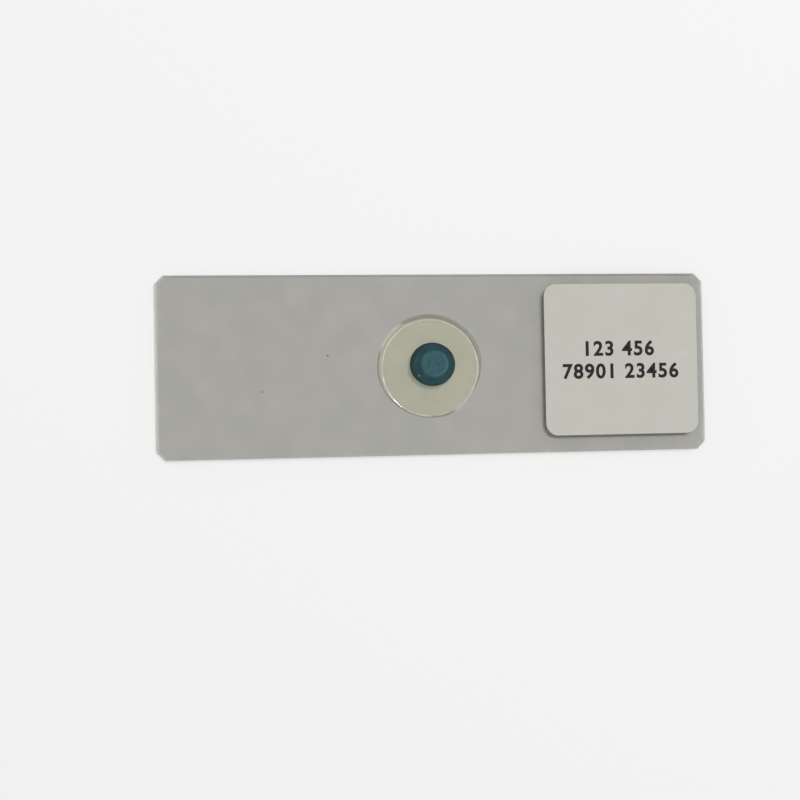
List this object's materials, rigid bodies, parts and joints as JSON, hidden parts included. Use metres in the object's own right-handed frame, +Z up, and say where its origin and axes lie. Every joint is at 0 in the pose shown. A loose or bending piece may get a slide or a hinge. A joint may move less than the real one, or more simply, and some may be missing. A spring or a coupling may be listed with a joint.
{
  "type": "prepared microscope slide",
  "caption": "Glass slide carrying a stained stem cross-section in clear resin under a round cover glass, with a paper label at one end.",
  "frame": {"origin": "middle of the glass plate's underside, which it rests on", "axes": "+X along the plate towards its labelled end, +Y across it, +Z up out of the face that carries the cover glass"},
  "size_m": [0.076, 0.0248, 0.0015],
  "materials": {
    "slide_glass": "polished, ground bevelled edges",
    "stained_tissue": "stained plant tissue, blue-green",
    "mounting_resin": "clear set resin, slightly yellow",
    "thin_glass": "polished",
    "label_paper": "matt white paper, self-adhesive"
  },
  "bodies": {
    "root": {"glass_slide": "slide_glass", "stem_section": "stained_tissue", "mounting_medium": "mounting_resin", "cover_glass": "thin_glass", "label": "label_paper"}
  },
  "joints": []
}
